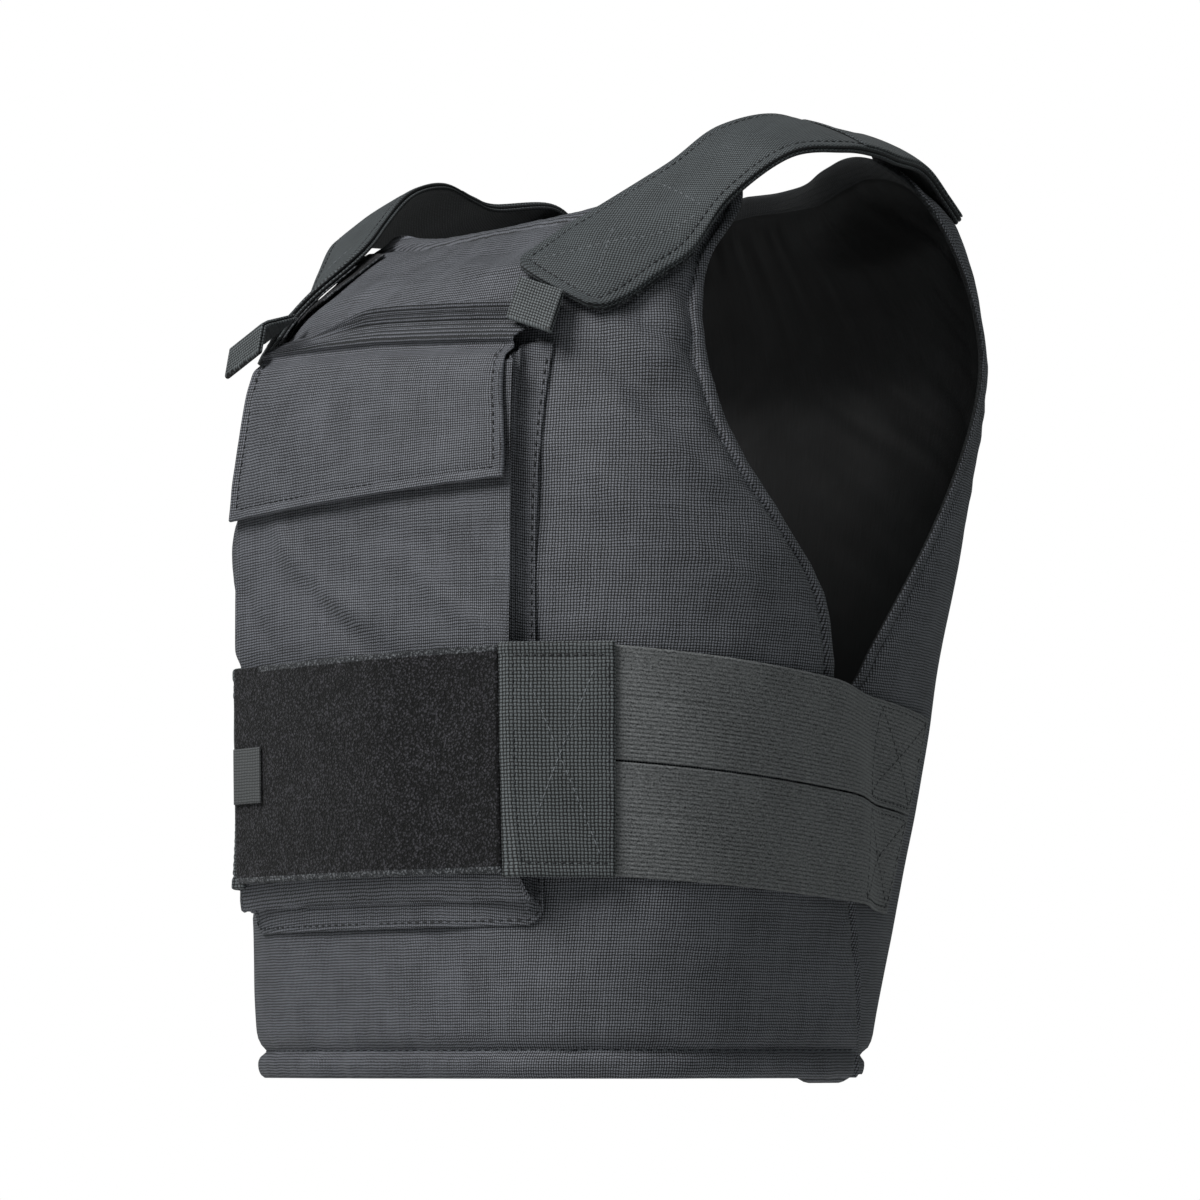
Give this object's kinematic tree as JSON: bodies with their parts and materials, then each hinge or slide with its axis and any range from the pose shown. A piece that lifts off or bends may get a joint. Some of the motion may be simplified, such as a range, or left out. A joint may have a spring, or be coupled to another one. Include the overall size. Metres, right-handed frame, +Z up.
{
  "type": "concealable soft armour vest",
  "caption": "Soft armour vest in its worn form: padded front and back panels, plate pocket with flap, shoulder straps and elastic side closures.",
  "frame": {"origin": "on the mid-plane between the shoulders, level with the underside of the shoulder straps where the wearer's shoulders carry them", "axes": "+Z up, -Y towards the front of the vest, +X towards the wearer's left"},
  "size_m": [0.3296, 0.3121, 0.4369],
  "materials": {
    "oxford_cloth": "matt woven oxford cloth, charcoal",
    "strap_cloth": "matt layered woven cloth, charcoal",
    "elastic": "ribbed woven elastic, grey",
    "webbing": "plain woven webbing, dark grey",
    "loop_pile": "fuzzy loop pile, black"
  },
  "bodies": {
    "root": {"front_panel": "oxford_cloth", "back_panel": "oxford_cloth", "plate_pocket": "oxford_cloth", "pocket_flap": "oxford_cloth", "shoulder_strap_left": "strap_cloth", "pull_tab_left": "webbing", "shoulder_loop_field_left": "loop_pile", "side_elastic_upper_left": "elastic", "side_elastic_lower_left": "elastic", "webbing_patch_left": "webbing", "closure_flap_left": "loop_pile", "shoulder_strap_right": "strap_cloth", "pull_tab_right": "webbing", "shoulder_loop_field_right": "loop_pile", "side_elastic_upper_right": "elastic", "side_elastic_lower_right": "elastic", "webbing_patch_right": "webbing", "closure_flap_right": "loop_pile", "closure_end_tab": "webbing"}
  },
  "joints": []
}
